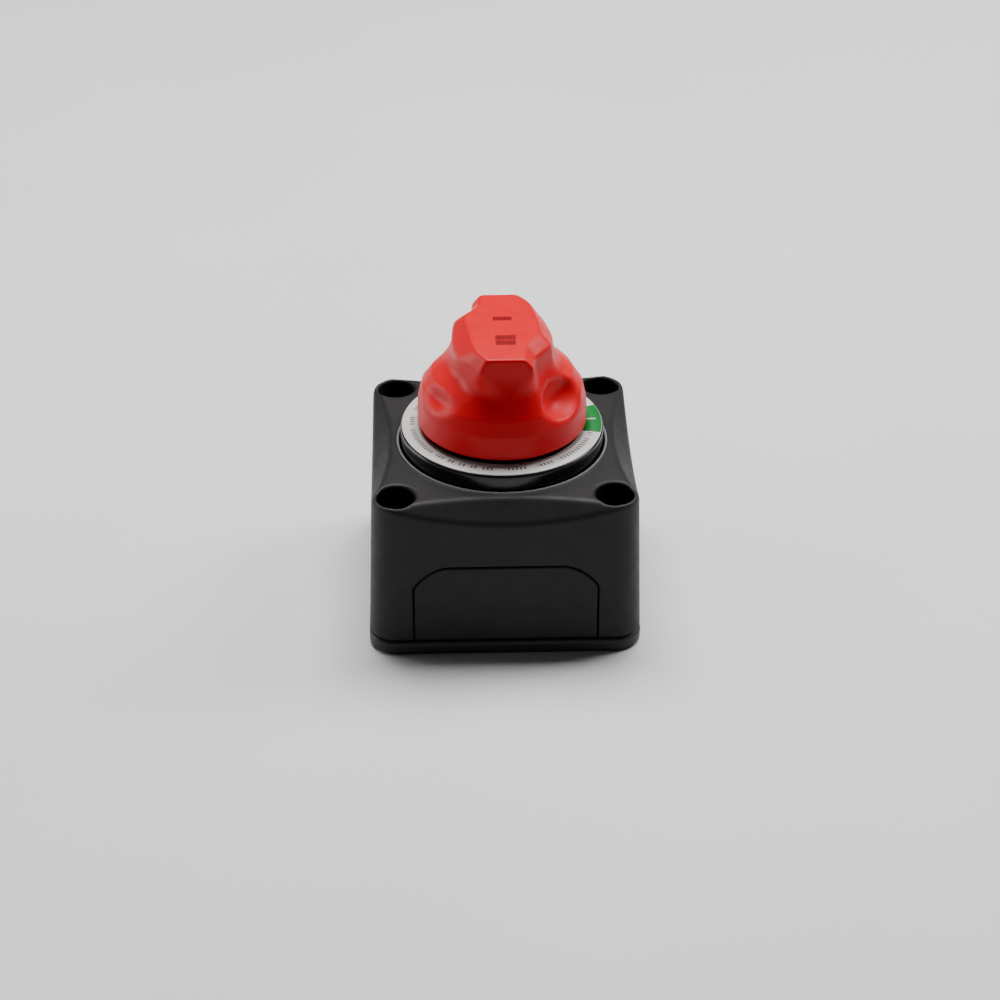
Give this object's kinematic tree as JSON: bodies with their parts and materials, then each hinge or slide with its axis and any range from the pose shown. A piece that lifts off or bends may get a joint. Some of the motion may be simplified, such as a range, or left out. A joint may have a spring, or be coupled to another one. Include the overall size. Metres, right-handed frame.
{
  "type": "battery isolator switch",
  "caption": "Square surface-mount battery isolator with a round dial, a quarter-turn grip knob, deep screw wells and threaded stud terminals inside.",
  "frame": {"origin": "centre of the base plate's underside, on the knob's axis", "axes": "+Z out of the mounting surface along the knob's axis, +X towards ON, +Y towards OFF"},
  "size_m": [0.069, 0.069, 0.076],
  "materials": {
    "housing_plastic": "charcoal glass-filled nylon, fine spark-eroded texture",
    "base_plastic": "black nylon, fine texture",
    "dial_plastic": "black, smooth and glossier than the housing",
    "label_print": "white printed film with a green and a red field",
    "knob_plastic": "red, satin moulded",
    "insulator": "natural phenolic moulding",
    "nylon": "natural nylon",
    "rubber": "black rubber",
    "copper": "bright copper",
    "tinned_copper": "tin-plated copper, dull silver",
    "brass": "turned brass",
    "plated_steel": "zinc-plated steel",
    "spring_steel": "spring steel"
  },
  "bodies": {
    "root": {"housing": "housing_plastic", "base_plate": "base_plastic", "switch_case": "dial_plastic", "label_ring": "label_print", "terminal_block": "insulator", "case_gasket": "rubber", "thrust_washer": "nylon", "side_plate_front": "housing_plastic", "side_plate_right": "housing_plastic", "side_plate_back": "housing_plastic", "side_plate_left": "housing_plastic", "case_screw_1": "plated_steel", "case_screw_2": "plated_steel", "case_screw_3": "plated_steel", "case_screw_4": "plated_steel", "terminal_stud_left": "tinned_copper", "stud_washer_left": "tinned_copper", "lock_washer_left": "plated_steel", "stud_nut_left": "plated_steel", "detent_spring_left": "spring_steel", "terminal_stud_right": "tinned_copper", "stud_washer_right": "tinned_copper", "lock_washer_right": "plated_steel", "stud_nut_right": "plated_steel", "detent_spring_right": "spring_steel"},
    "rotor": {"knob": "knob_plastic", "knob_spring_clip": "spring_steel", "rotor_shaft": "brass", "shaft_seal": "rubber", "shaft_circlip": "spring_steel", "contact_carrier": "insulator", "bridge_spring": "spring_steel"},
    "bridge": {"contact_bridge": "copper"},
    "detent_left": {"detent_plunger_left": "plated_steel"},
    "detent_right": {"detent_plunger_right": "plated_steel"}
  },
  "joints": [
    {"name": "knob_turn", "type": "hinge", "parent": "root", "child": "rotor", "pos_m": [0, 0, 0.0493], "axis": [0, 0, 1], "range_deg": [-90, 0]},
    {"name": "bridge_float", "type": "slide", "parent": "rotor", "child": "bridge", "axis": [0, 0, 1], "range_m": [0, 0.0006], "stiffness_N_per_m": 1500, "springref_m": -0.003, "deforming": ["bridge_spring"]},
    {"name": "detent_slide_left", "type": "slide", "parent": "root", "child": "detent_left", "axis": [-1, 0, 0], "range_m": [0, 0.0006], "stiffness_N_per_m": 1500, "springref_m": -0.002, "deforming": ["detent_spring_left"]},
    {"name": "detent_slide_right", "type": "slide", "parent": "root", "child": "detent_right", "axis": [1, 0, 0], "range_m": [0, 0.0006], "stiffness_N_per_m": 1500, "springref_m": -0.002, "deforming": ["detent_spring_right"]}
  ]
}
